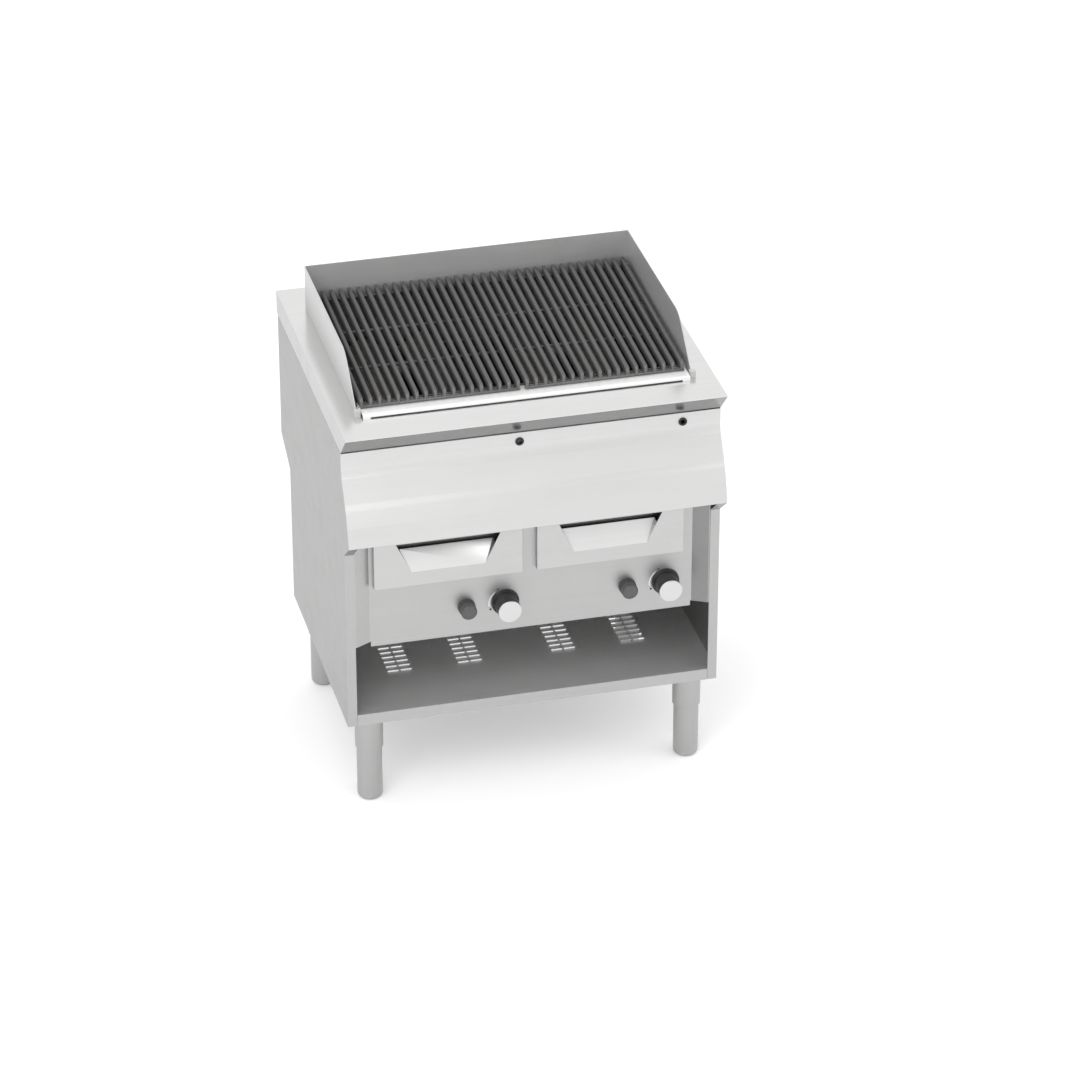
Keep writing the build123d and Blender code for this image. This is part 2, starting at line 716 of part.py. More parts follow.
os.makedirs("parts", exist_ok=True)
for name, shape in parts.items():
    solids = shape if isinstance(shape, list) else shape.solids()
    export_step(Compound(children=list(solids)), f"parts/{name}.step")
print(len(parts), "nodes")
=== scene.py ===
import bmesh
import bpy
import math
from mathutils import Matrix, Vector


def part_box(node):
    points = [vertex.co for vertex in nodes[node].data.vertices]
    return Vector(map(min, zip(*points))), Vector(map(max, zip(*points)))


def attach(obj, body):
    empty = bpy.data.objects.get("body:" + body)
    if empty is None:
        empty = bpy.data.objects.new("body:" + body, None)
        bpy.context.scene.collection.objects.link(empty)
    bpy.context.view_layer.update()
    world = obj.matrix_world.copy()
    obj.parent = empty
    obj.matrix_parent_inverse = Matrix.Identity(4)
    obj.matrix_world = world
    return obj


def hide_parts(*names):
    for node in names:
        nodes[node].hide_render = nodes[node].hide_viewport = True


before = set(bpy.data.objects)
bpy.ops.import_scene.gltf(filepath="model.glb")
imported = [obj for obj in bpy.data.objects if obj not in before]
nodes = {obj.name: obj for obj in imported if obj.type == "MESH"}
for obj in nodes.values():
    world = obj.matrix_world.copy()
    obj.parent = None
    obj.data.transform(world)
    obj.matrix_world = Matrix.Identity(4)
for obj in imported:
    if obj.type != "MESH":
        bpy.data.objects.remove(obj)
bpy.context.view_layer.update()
MM = 0.001


# ---------------------------------------------------------------------------------------
# Materials
# ---------------------------------------------------------------------------------------

# How well a face has to point a way, as a cosine, to start and to finish its change to a level of painted
# light and shade.
FACING_SOME, FACING_FULL = 0.88, 0.96
# Features per metre of a steel sheet's grain.
GRAIN_ACROSS, GRAIN_ALONG = 900.0, 9.0


class Shader:
    """A node material built up from a few short calls."""

    def __init__(self, name):
        self.material = bpy.data.materials.new(name)
        self.material.use_nodes = True
        self.tree = self.material.node_tree
        self.surface = self.tree.nodes["Principled BSDF"]
        self.place = self.tree.nodes.new("ShaderNodeTexCoord").outputs["Object"]

    def link(self, value, socket):
        """Puts a number, a colour or another node's output into a socket."""
        if isinstance(value, bpy.types.NodeSocket):
            self.tree.links.new(value, socket)
        else:
            socket.default_value = value

    def node(self, kind, inputs, **settings):
        """A node with its settings and inputs."""
        made = self.tree.nodes.new("ShaderNode" + kind)
        for name, value in settings.items():
            setattr(made, name, value)
        for name, value in inputs.items():
            self.link(value, made.inputs[name])
        return made

    def noise(self, scale, stretch=(1, 1, 1), detail=3.0, roughness=0.5):
        """Noise of so many features per metre, stretched by direction."""
        moved = self.node("Mapping", {"Vector": self.place, "Scale": stretch})
        made = self.node("TexNoise", {"Vector": moved.outputs["Vector"], "Scale": scale,
                                      "Detail": detail, "Roughness": roughness})
        return made.outputs["Fac"]

    def remap(self, value, low, high, to_low, to_high):
        """A value carried from one range to another, kept inside it."""
        made = self.node("MapRange", {"Value": value, "From Min": low, "From Max": high,
                                      "To Min": to_low, "To Max": to_high})
        return made.outputs["Result"]

    def math(self, operation, a, b):
        """One sum on two values."""
        made = self.tree.nodes.new("ShaderNodeMath")
        made.operation = operation
        self.link(a, made.inputs[0])
        self.link(b, made.inputs[1])
        return made.outputs[0]

    def mix(self, factor, a, b):
        """One colour turning into another."""
        made = self.tree.nodes.new("ShaderNodeMix")
        made.data_type = "RGBA"
        self.link(factor, made.inputs[0])
        self.link(a, made.inputs[6])
        self.link(b, made.inputs[7])
        return made.outputs[2]

    def bump(self, *layers):
        """Surface relief from (height, strength, depth in metres) layers."""
        normal = None
        for height, strength, depth in layers:
            inputs = {"Height": height, "Strength": strength, "Distance": depth}
            if normal is not None:
                inputs["Normal"] = normal
            normal = self.node("Bump", inputs).outputs["Normal"]
        self.link(normal, self.surface.inputs["Normal"])

    def finish(self, **inputs):
        """Sets the surface's inputs and gives the material."""
        for name, value in inputs.items():
            self.link(value, self.surface.inputs[name.replace("_", " ")])
        return self.material


def grey(level, warmth=0.0):
    """A near-neutral colour; warmth moves it from blue to yellow."""
    return (level * (1 + warmth), level, level * (1 - warmth), 1.0)


def steel(name, level, rough, along, grain=0.25, warmth=0.004, metallic=1.0, painted_light_by_facing=()):
    """Stainless sheet with its grain along one axis, faint wiping marks and uneven polish.

    The last argument holds (direction, level) pairs, the level of faces turned that way. The sheet's finish
    is the same all over, so these levels are painted light, shade and reflection that stand in for the
    surroundings that bare steel reflects and the studio lacks."""
    s = Shader(name)
    stretch = [GRAIN_ACROSS] * 3
    stretch["XYZ".index(along)] = GRAIN_ALONG
    fine = s.noise(1.0, tuple(stretch), 4.0, 0.6)
    streak = s.noise(1.0, tuple(v / 7 for v in stretch), 2.0, 0.5)
    cloud = s.noise(6.0, (1, 1, 1), 4.0, 0.6)
    smudge = s.noise(22.0, (1, 1, 1), 5.0, 0.65)
    shade = s.remap(streak, 0.3, 0.7, 0.983, 1.012)
    shade = s.math("MULTIPLY", shade, s.remap(cloud, 0.3, 0.7, 0.985, 1.01))
    base = grey(level, warmth)
    normal = s.node("NewGeometry", {}).outputs["Normal"]
    # Painted light and shade: faces turned a listed way take that level in place of the sheet's own.
    for direction, painted_level in painted_light_by_facing:
        unit = Vector(direction).normalized()
        cosine = s.node("VectorMath", {0: normal, 1: unit}, operation="DOT_PRODUCT").outputs["Value"]
        turned_to = s.remap(cosine, FACING_SOME, FACING_FULL, 0.0, 1.0)
        base = s.mix(turned_to, base, grey(painted_level, warmth))
    colour = s.mix(shade, grey(0.0), base)
    wiped = s.remap(smudge, 0.45, 0.75, 0.0, 0.05)
    polish = s.math("ADD", s.remap(fine, 0.25, 0.75, rough * 0.85, rough * 1.15), wiped)
    s.bump((fine, grain, 0.00008), (cloud, 0.15, 0.0004))
    return s.finish(Base_Color=colour, Metallic=metallic, Roughness=polish)


def dull_steel(name, level, rough, tint=(1.0, 1.0, 1.0)):
    """Mill-finish or plated steel inside the cabinet, clouded and a little stained."""
    s = Shader(name)
    cloud = s.noise(14.0, (1, 1, 1), 5.0, 0.6)
    spangle = s.node("TexVoronoi", {"Vector": s.place, "Scale": 160.0}).outputs["Color"]
    base = tuple(level * t for t in tint) + (1.0,)
    dark = tuple(level * t * 0.72 for t in tint) + (1.0,)
    colour = s.mix(s.remap(cloud, 0.35, 0.65, 0.0, 1.0), dark, base)
    colour = s.mix(0.06, colour, spangle)
    s.bump((cloud, 0.2, 0.0005))
    polish = s.remap(cloud, 0.3, 0.7, rough, rough + 0.15)
    return s.finish(Base_Color=colour, Metallic=0.9, Roughness=polish)


def heated_steel(name):
    """Burner and radiant steel, tinted straw and blue by the flame, sooted in patches."""
    s = Shader(name)
    heat = s.noise(9.0, (1, 0.5, 1), 4.0, 0.6)
    soot = s.noise(40.0, (1, 1, 1), 5.0, 0.7)
    straw = s.mix(s.remap(heat, 0.3, 0.5, 0.0, 1.0), (0.42, 0.41, 0.40, 1), (0.36, 0.32, 0.28, 1))
    blue = s.mix(s.remap(heat, 0.5, 0.68, 0.0, 1.0), straw, (0.20, 0.22, 0.33, 1))
    colour = s.mix(s.remap(soot, 0.5, 0.75, 0.0, 0.75), blue, (0.04, 0.038, 0.036, 1))
    s.bump((soot, 0.3, 0.0004))
    return s.finish(Base_Color=colour, Metallic=0.85, Roughness=s.remap(soot, 0.3, 0.7, 0.32, 0.6))


def cast_iron():
    """Seasoned sand casting, grainy and unevenly dark, with painted light: faces turned up are painted
    darker and the flanks lighter.
    """
    s = Shader("grate_cast_iron")
    sand = s.noise(1100.0, (1, 1, 1), 3.0, 0.6)
    swell = s.noise(130.0, (1, 0.5, 1), 4.0, 0.6)
    normal = s.node("NewGeometry", {}).outputs["Normal"]
    up = s.node("SeparateXYZ", {"Vector": normal}).outputs["Z"]
    # Painted light and shade: upward faces take a darker level, less so where the swell noise is low, and
    # all other faces a lighter one that stands in for light the flanks lack.
    painted_top_shade = s.math("MULTIPLY", s.remap(up, 0.35, 0.95, 0.0, 1.0), s.remap(swell, 0.2, 0.7, 0.7, 1.0))
    body = s.mix(s.remap(swell, 0.3, 0.7, 0.0, 1.0), grey(0.15, 0.008), grey(0.20, 0.008))
    colour = s.mix(painted_top_shade, body, grey(0.112, 0.005))
    s.bump((sand, 0.35, 0.0003), (swell, 0.35, 0.0008))
    return s.finish(Base_Color=colour, Metallic=0.3, Roughness=s.remap(sand, 0.3, 0.7, 0.50, 0.68),
                    Specular_IOR_Level=0.45)


def plastic(name, level, rough, grain=420.0, warmth=0.0):
    """Moulded plastic with a fine spark-eroded texture and slight handling shine."""
    s = Shader(name)
    leather = s.noise(grain, (1, 1, 1), 4.0, 0.6)
    handled = s.noise(35.0, (1, 1, 1), 3.0, 0.5)
    dark, pale = grey(level * 0.85, warmth), grey(level * 1.15, warmth)
    colour = s.mix(s.remap(handled, 0.3, 0.7, 0.0, 1.0), dark, pale)
    s.bump((leather, 0.25, 0.0002))
    return s.finish(Base_Color=colour, Roughness=s.remap(handled, 0.3, 0.7, rough, rough + 0.12))


def spun_disc(name, level, rough, centre):
    """Aluminium face turned on a lathe: fine rings round an axis along Y."""
    s = Shader(name)
    moved = s.node("Mapping", {"Vector": s.place, "Location": tuple(-c for c in centre)})
    flat = s.node("VectorMath", {0: moved.outputs["Vector"], 1: (1, 0, 1)}, operation="MULTIPLY")
    radius = s.node("VectorMath", {0: flat.outputs["Vector"]}, operation="LENGTH").outputs["Value"]
    rings = s.node("TexNoise", {"W": radius, "Scale": 2600.0, "Detail": 2.0}, noise_dimensions="1D")
    shade = s.remap(rings.outputs["Fac"], 0.3, 0.7, 0.93, 1.03)
    s.bump((rings.outputs["Fac"], 0.35, 0.0001))
    colour = s.mix(shade, grey(0.0), grey(level, 0.003))
    return s.finish(Base_Color=colour, Metallic=0.75, Roughness=rough)


def patched(name, colour, rough, metallic=1.0, stain=0.25):
    """Machined metal or a rubber sleeve, tarnished or rubbed in soft patches."""
    s = Shader(name)
    patch = s.noise(60.0, (1, 1, 1), 4.0, 0.6)
    tool = s.noise(900.0, (1, 1, 1), 2.0, 0.5)
    dark = tuple(c * (1 - stain) for c in colour) + (1.0,)
    base = s.mix(s.remap(patch, 0.35, 0.65, 0.0, 1.0), tuple(colour) + (1.0,), dark)
    s.bump((tool, 0.12, 0.0001))
    polish = s.remap(patch, 0.3, 0.7, rough, rough + 0.12)
    return s.finish(Base_Color=base, Metallic=metallic, Roughness=polish)


# Each level, and metallic below 1 on bare sheet, is matched to how bright that part looks, and isn't
# a measured finish.
# Painted light and shade by facing below: worktop faces turned left, right, rearwards and down under the
# nose are painted darker, control-panel faces turned to the front left darker, and drawer faces turned up
# towards the front, side-panel faces turned to the front and the shelf's upward faces lighter.
worktop_steel = steel("worktop_bright_steel", 0.74, 0.20, "X", 0.10,
                      painted_light_by_facing=[((-1, 0, 0), 0.38), ((1, 0, 0), 0.46), ((0, -0.71, -0.70), 0.30),
                              ((0, 1, 0), 0.46)])
fascia_steel = steel("fascia_satin_steel", 0.62, 0.48, "X", metallic=0.7)
control_steel = steel("control_panel_satin_steel", 0.46, 0.42, "X", painted_light_by_facing=[((-0.6, -0.8, 0), 0.26)])
drawer_steel = steel("drawer_satin_steel", 0.46, 0.40, "X", painted_light_by_facing=[((0, -0.9, 0.44), 0.74)])
side_steel = steel("side_satin_steel", 0.36, 0.38, "Y", painted_light_by_facing=[((0, -1, 0), 0.44)])
back_steel = steel("back_satin_steel", 0.55, 0.34, "X")
shelf_steel = steel("shelf_satin_steel", 0.45, 0.42, "X", metallic=0.8, painted_light_by_facing=[((0, 0, 1), 0.95)])
guard_steel = steel("guard_satin_steel", 0.62, 0.50, "X", metallic=0.75)
gutter_steel = steel("gutter_polished_steel", 0.92, 0.45, "X", 0.10, metallic=0.4)
leg_steel = steel("leg_satin_tube", 0.42, 0.36, "Z")
hidden_steel = dull_steel("mill_steel", 0.42, 0.38)
tray_steel = dull_steel("stained_tray_steel", 0.20, 0.42)
plated_steel = dull_steel("zinc_plated_steel", 0.55, 0.30, (0.97, 0.99, 1.0))
hot_steel = heated_steel("heat_tinted_steel")
iron = cast_iron()
knob_black = plastic("knob_black", 0.016, 0.34)
bush_black = plastic("bush_black", 0.010, 0.45)
button_grey = plastic("button_charcoal", 0.075, 0.38)
collar_grey = plastic("collar_charcoal", 0.045, 0.42)
body_black = plastic("igniter_black", 0.02, 0.4)
red_sleeve = patched("lead_silicone", (0.30, 0.035, 0.025), 0.45, metallic=0.0)
ceramic = plastic("electrode_ceramic", 0.72, 0.18, 200.0, 0.04)
brass = patched("machined_brass", (0.62, 0.45, 0.20), 0.25)
copper = patched("drawn_copper", (0.60, 0.32, 0.19), 0.28)
spindle_steel = patched("machined_steel", (0.55, 0.55, 0.56), 0.24)
screw_steel = patched("screw_steel", (0.58, 0.58, 0.60), 0.26)
ink = plastic("printed_dots", 0.03, 0.6)
pale_ink = plastic("printed_arc", 0.85, 0.5)


# ---------------------------------------------------------------------------------------
# Geometry helpers
# ---------------------------------------------------------------------------------------

EDGE_ROUNDING = 0.5 * MM
CORNER_STEPS = 4


def piece(name, mesh, material, body, stands_for=()):
    """A finished piece of the grill: named, painted and riding on its body."""
    made = bpy.data.objects.new(name, mesh)
    bpy.context.scene.collection.objects.link(made)
    mesh.materials.append(material)
    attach(made, body)
    if stands_for:
        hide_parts(*stands_for)
    return made


def bevel(made):
    """Rounds an object's hard edges."""
    weld = made.modifiers.new("weld", "WELD")
    weld.merge_threshold = 0.01 * MM
    rounding = made.modifiers.new("bevel", "BEVEL")
    rounding.width = EDGE_ROUNDING
    rounding.segments = 2
    rounding.limit_method = "ANGLE"
    rounding.angle_limit = math.radians(35)
    rounding.use_clamp_overlap = True
    rounding.harden_normals = True


def smooth(mesh):
    """Makes every face of a mesh shade smoothly."""
    for face in mesh.polygons:
        face.use_smooth = True


def crisp(made):
    """Keeps the hard edges of a smooth-shaded object hard."""
    split = made.modifiers.new("sharp", "EDGE_SPLIT")
    split.split_angle = math.radians(40)


def centre_of(name):
    """Middle of a CAD node's box."""
    low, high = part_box(name)
    return (Vector(low) + Vector(high)) / 2


def rear_of(name):
    """Middle of the rear of a CAD node's box."""
    middle = centre_of(name)
    return Vector((middle.x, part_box(name)[1][1], middle.z))


def mesh_from(name, shape):
    """A smooth-shaded mesh with clean normals from a bmesh."""
    bmesh.ops.remove_doubles(shape, verts=shape.verts, dist=1e-6)
    bmesh.ops.recalc_face_normals(shape, faces=shape.faces)
    mesh = bpy.data.meshes.new(name)
    shape.to_mesh(mesh)
    shape.free()
    smooth(mesh)
    return mesh


def lathe(shape, profile, place, axis, sides, rim=None):
    """Adds a (distance along the axis, radius) profile turned about an axis through a point.

    rim, where given, moves a ring's radius in or out by its angle and its profile point."""
    turn = Vector(axis).to_track_quat("Z", "Y").to_matrix().to_4x4()
    turn.translation = Vector(place)
    rings = []
    for step, (along, radius) in enumerate(profile):
        if radius < 1e-6:
            rings.append([shape.verts.new(turn @ Vector((0, 0, along)))])
            continue
        ring = []
        for side in range(sides):
            angle = 2 * math.pi * side / sides
            reach = radius + (rim(angle, step) if rim else 0.0)
            across, up = reach * math.cos(angle), reach * math.sin(angle)
            ring.append(shape.verts.new(turn @ Vector((across, up, along))))
        rings.append(ring)
    for lower, upper in zip(rings, rings[1:]):
        for side in range(sides):
            after = (side + 1) % sides
            if len(lower) == 1:
                shape.faces.new((lower[0], upper[after], upper[side]))
            elif len(upper) == 1:
                shape.faces.new((lower[side], lower[after], upper[0]))
            else:
                shape.faces.new((lower[side], lower[after], upper[after], upper[side]))


def turned(name, profile, place, axis, sides, rim=None):
    """Mesh of one lathe-turned piece."""
    shape = bmesh.new()
    lathe(shape, profile, place, axis, sides, rim)
    return mesh_from(name, shape)


def rounded(start, corner, end, radius):
    """Profile points that round a corner between two straight runs."""
    corner = Vector(corner)
    back = (Vector(start) - corner).normalized() * radius
    on = (Vector(end) - corner).normalized() * radius
    points = []
    for step in range(CORNER_STEPS + 1):
        t = step / CORNER_STEPS
        points.append(tuple(corner + back * (1 - t) ** 2 + on * t ** 2))
    return points


def soften(profile, radii):
    """A profile with its inner corners rounded, one radius per corner (0 keeps it sharp)."""
    points = [profile[0]]
    for before, corner, after, radius in zip(profile, profile[1:], profile[2:], radii):
        points += rounded(before, corner, after, radius) if radius else [corner]
    return points + [profile[-1]]


def mm(profile):
    """A profile in millimetres, as metres."""
    return [(a * MM, b * MM) for a, b in profile]


def cap(shape, points):
    """One face through a closed run of points, with corners of its own."""
    shape.faces.new([shape.verts.new(point) for point in points])


def join(shape, near, far):
    """Closes a solid between two outlines: a face for each side and one at each end."""
    for step in range(len(near)):
        after = (step + 1) % len(near)
        shape.faces.new((near[step], near[after], far[after], far[step]))
    shape.faces.new(near[::-1])
    shape.faces.new(far)


def slab(shape, outline, depth):
    """A thin plate: a closed outline that faces -Y, thickened towards +Y."""
    near = [shape.verts.new(point) for point in outline]
    far = [shape.verts.new((x, y + depth, z)) for x, y, z in outline]
    join(shape, near, far)


# ---------------------------------------------------------------------------------------
# Grate
# ---------------------------------------------------------------------------------------

RIB_HEIGHT = 22 * MM
RIB_PITCH = 19.33 * MM
RIB_COUNT = 18
# Radius of a rib's front top corner, and how far down its crest is rounded.
RIB_CORNER = 8 * MM
RIB_CROWN = 3.4 * MM
GRATE_SLOPE = math.radians(1.56)
GRATE_LENGTH = 476 * MM
BAR_DEPTH = 8 * MM
BAR_HEIGHT = 5.5 * MM
BAR_PLACES = (0.0, 158 * MM, 312 * MM, 464 * MM)

# Rows of points on a rib's side, by how far they lie in from its crest, and the points along each row.
RIB_INSETS = (0.0, 0.25 * MM, 0.8 * MM, 1.7 * MM, 3.4 * MM, 5.5 * MM, 8 * MM, 13 * MM, 18 * MM, RIB_HEIGHT)
UPRIGHT_POINTS, BEND_STEPS, RUN_STEPS = 7, 6, 12
UPRIGHT_PITCH = 2.0 * MM

# Half the rib's thickness at its foot, what the mould's draft adds by its top, and how uneven it comes out.
RIB_FOOT, RIB_DRAFT, RIB_UNEVEN = 2.5 * MM, 1.7 * MM, 0.16 * MM
# The rib's front end spreads at its foot: by how much, and how far up and back.
FLARE, FLARE_UP, FLARE_BACK = 2.8 * MM, 4.5 * MM, 9 * MM


def rib_rows():
    """Each row of a rib's side, from its crest inwards: inset, and the points (along, up)."""
    arc = [math.pi - math.pi / 2 * step / BEND_STEPS for step in range(BEND_STEPS + 1)]
    uprights = [step * UPRIGHT_PITCH for step in range(UPRIGHT_POINTS)]
    straight = GRATE_LENGTH - RIB_CORNER
    runs = [RIB_CORNER + straight * step / RUN_STEPS for step in range(1, RUN_STEPS + 1)]
    rows = []
    for inset in RIB_INSETS:
        reach = max(RIB_CORNER - inset, 0.0)
        bend = max(RIB_CORNER, inset)
        top = RIB_HEIGHT - bend
        row = [(inset, min(z, top)) for z in uprights]
        row += [(bend + reach * math.cos(a), top + reach * math.sin(a)) for a in arc]
        row += [(max(run, bend), RIB_HEIGHT - inset) for run in runs]
        rows.append((inset, row))
    return rows


def rib_half_width(inset, along, up, wander):
    """Half the rib's thickness at a point of its side; wander sets one rib's unevenness apart."""
    half = RIB_FOOT + RIB_DRAFT * up / RIB_HEIGHT
    half += RIB_UNEVEN * math.sin(along * 41 + wander) * math.sin(along * 17 + 2 * wander)
    if inset < RIB_CROWN:
        half *= 0.02 + 0.98 * math.sqrt(1 - (1 - inset / RIB_CROWN) ** 2)
    flare = FLARE * math.exp(-(up / FLARE_UP) ** 2) * math.exp(-(along / FLARE_BACK) ** 2)
    return half + flare * min(1.0, inset / RIB_CROWN + 0.3)


def add_rib(shape, rows, centre, wander):
    """One rib: two curved sides that meet on its crest, a rear end and an underside."""
    ends, undersides = [], []
    for side in (-1, 1):
        grid = [[shape.verts.new((centre + side * rib_half_width(inset, along, up, wander), along, up))
                 for along, up in row] for inset, row in rows]
        for outer, inner in zip(grid, grid[1:]):
            for step in range(len(outer) - 1):
                shape.faces.new((outer[step], outer[step + 1], inner[step + 1], inner[step]))
        lowest_run = grid[-1][-RUN_STEPS:]
        ends.append([row[-1].co.copy() for row in grid])
        undersides.append([row[0].co.copy() for row in grid] + [vert.co.copy() for vert in lowest_run])
    cap(shape, ends[0] + ends[1][::-1])
    cap(shape, undersides[0] + undersides[1][::-1])


def add_bar(shape, start, end, along):
    """A low cross bar with a rounded top, cast between the ribs."""
    profile = [(0.0, 0.0), (0.5 * MM, BAR_HEIGHT), (BAR_DEPTH - 0.5 * MM, BAR_HEIGHT), (BAR_DEPTH, 0.0)]
    outline = soften(profile, (1.8 * MM, 1.8 * MM))
    near = [shape.verts.new((start, along + y, z)) for y, z in outline]
    far = [shape.verts.new((end, along + y, z)) for y, z in outline]
    join(shape, near, far)


def grate_half(name, side):
    """One casting of ribs and bars, sloping up towards the rear."""
    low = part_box("grate_" + name)[0]
    shape = bmesh.new()
    rows = rib_rows()
    middles = [side * RIB_PITCH * (index + 0.5) for index in range(RIB_COUNT)]
    for index, middle in enumerate(middles):
        add_rib(shape, rows, middle, 1.7 * index + side)
    for place in BAR_PLACES:
        add_bar(shape, min(middles), max(middles), place)
    mesh = mesh_from("grate_casting_" + name, shape)
    front = low[1] + RIB_HEIGHT * math.sin(GRATE_SLOPE)
    mesh.transform(Matrix.Translation((0, front, low[2])) @ Matrix.Rotation(GRATE_SLOPE, 4, "X"))
    piece("grate_casting_" + name, mesh, iron, "grate_half_" + name, ["grate_" + name])


# ---------------------------------------------------------------------------------------
# Controls
# ---------------------------------------------------------------------------------------

TOWARDS_COOK = (0, -1, 0)
KNOB_FLUTES = 36
FLUTE_DEPTH = 0.45 * MM
FLUTES_FROM, FLUTES_TO = 8.9 * MM, 34.5 * MM
STEM_LENGTH = 20 * MM
PRINT_DEPTH = 0.06 * MM
ARC_RADIUS = 32.5 * MM
ARC_SPAN = (math.radians(128), math.radians(192))
ARC_STEPS = 24
DOT_ANGLES = (math.radians(116), math.radians(205))
DOT_SIZES = (1.9 * MM, 2.4 * MM)
DOT_SIDES = 24


def knob_grip(name):
    """Knob with a skirt, a neck and a finely fluted grip."""
    node = "knob_" + name
    corners = [(0.0, 0.0), (0.0, 25.9), (4.0, 25.9), (5.2, 24.6), (7.6, 24.6), (8.8, 25.3),
               (34.0, 24.95), (36.5, 24.4), (36.5, 0.0)]
    profile = mm(soften(corners, (0.8, 0.8, 0.5, 0.5, 0.5, 0.8, 0.8)))
    grip = [step for step, (along, _) in enumerate(profile) if FLUTES_FROM < along < FLUTES_TO]

    def rim(angle, step):
        wave = 0.5 - 0.5 * math.cos(KNOB_FLUTES * angle)
        return -FLUTE_DEPTH * wave if step in grip else 0.0

    mesh = turned(node + "_grip", profile, rear_of(node), TOWARDS_COOK, 6 * KNOB_FLUTES, rim)
    piece(node + "_grip", mesh, knob_black, "knob_turning_" + name, [node])


def cap_disc(name):
    """Slightly crowned disc in the front of a knob, with a turned rim."""
    node = "knob_cap_" + name
    corners = [(0.0, 0.0), (0.0, 24.8), (1.5, 24.8), (2.2, 24.0), (2.1, 22.6), (2.35, 22.0), (2.5, 0.0)]
    profile = mm(soften(corners, (0.2, 0.4, 0.3, 0.2, 0.3)))
    mesh = turned(node + "_disc", profile, rear_of(node), TOWARDS_COOK, 128)
    face = spun_disc(node + "_spun_aluminium", 0.62, 0.36, centre_of(node))
    piece(node + "_disc", mesh, face, "knob_turning_" + name, [node])


def push_button(name):
    """Igniter button with a rounded shoulder, a dished face and its stem."""
    node = "igniter_button_" + name
    stem_end = -STEM_LENGTH / MM
    corners = [(stem_end, 0.0), (stem_end, 3.0), (0.0, 3.0), (0.0, 17.0), (15.8, 17.0), (19.0, 14.2),
               (18.5, 11.5), (17.6, 0.0)]
    profile = mm(soften(corners, (0.5, 0.3, 0.5, 1.2, 1.0, 0.6)))
    head = rear_of(node) + STEM_LENGTH * Vector(TOWARDS_COOK)
    mesh = turned(node + "_moulding", profile, head, TOWARDS_COOK, 96)
    piece(node + "_moulding", mesh, button_grey, "button_" + name, [node])


def ring_pair(name, node, control, profile, material):
    """The same turned ring on the panel round each of two like controls."""
    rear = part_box(node)[1][1]
    shape = bmesh.new()
    for side in ("left", "right"):
        middle = centre_of(f"{control}_{side}")
        lathe(shape, profile, (middle.x, rear, middle.z), TOWARDS_COOK, 96)
    piece(name, mesh_from(name, shape), material, "frame", [node])


def collars():
    """Stepped collar that each igniter button slides in."""
    corners = [(0.0, 17.1), (0.0, 18.6), (3.0, 18.6), (3.6, 18.2), (11.4, 18.1), (12.0, 17.7),
               (12.0, 17.1), (0.0, 17.1)]
    profile = mm(soften(corners, (0.2, 0.3, 0.2, 0.3, 0.3, 0.1)))
    ring_pair("button_collar_rings", "button_collars", "igniter_button", profile, collar_grey)


def bezels():
    """Rounded ring on the panel behind each knob."""
    corners = [(0.0, 26.55), (0.0, 30.0), (5.5, 29.4), (8.0, 27.8), (8.0, 26.55), (0.0, 26.55)]
    profile = mm(soften(corners, (0.2, 1.5, 0.6, 0.3)))
    ring_pair("knob_bezel_rings", "knob_bezels", "knob", profile, knob_black)


def turn_marks(name):
    """Printed marks on the panel beside a knob: a pale tapered arc between two dark dots."""
    middle = centre_of("knob_" + name)
    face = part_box("knob_bezels")[1][1] - PRINT_DEPTH

    def at(angle, radius):
        return (middle.x + radius * math.cos(angle), face, middle.z + radius * math.sin(angle))

    arc, dots = bmesh.new(), bmesh.new()
    first, last = ARC_SPAN
    shares = [step / ARC_STEPS for step in range(ARC_STEPS + 1)]
    inner = [at(first + (last - first) * share, ARC_RADIUS) for share in shares]
    outer = [at(first + (last - first) * share, ARC_RADIUS + (1 + 3 * share) * MM) for share in shares]
    slab(arc, inner + outer[::-1], PRINT_DEPTH)
    for angle, size in zip(DOT_ANGLES, DOT_SIZES):
        x, y, z = at(angle, ARC_RADIUS + 2 * MM)
        turn = [2 * math.pi * side / DOT_SIDES for side in range(DOT_SIDES)]
        slab(dots, [(x + size * math.cos(a), y, z + size * math.sin(a)) for a in turn], PRINT_DEPTH)
    for kind, shape, coating in (("arc", arc, pale_ink), ("dots", dots, ink)):
        label = f"turn_{kind}_{name}"
        piece(label, mesh_from(label, shape), coating, "frame")


# ---------------------------------------------------------------------------------------
# Legs and fasteners
# ---------------------------------------------------------------------------------------

PLATE_HALF, PLATE_CHAMFER, PLATE_THICKNESS = 38 * MM, 3 * MM, 3 * MM
# The screws stand further apart than this, so each falls in a band of height of its own.
SCREW_BAND = 50 * MM


def plate_outline(middle):
    """The outline of a square leg plate with chamfered corners."""
    half, flat = PLATE_HALF, PLATE_HALF - PLATE_CHAMFER
    around = [(-flat, -half), (flat, -half), (half, -flat), (half, flat),
              (flat, half), (-flat, half), (-half, flat), (-half, -flat)]
    return [(middle.x + x, middle.y + y) for x, y in around]


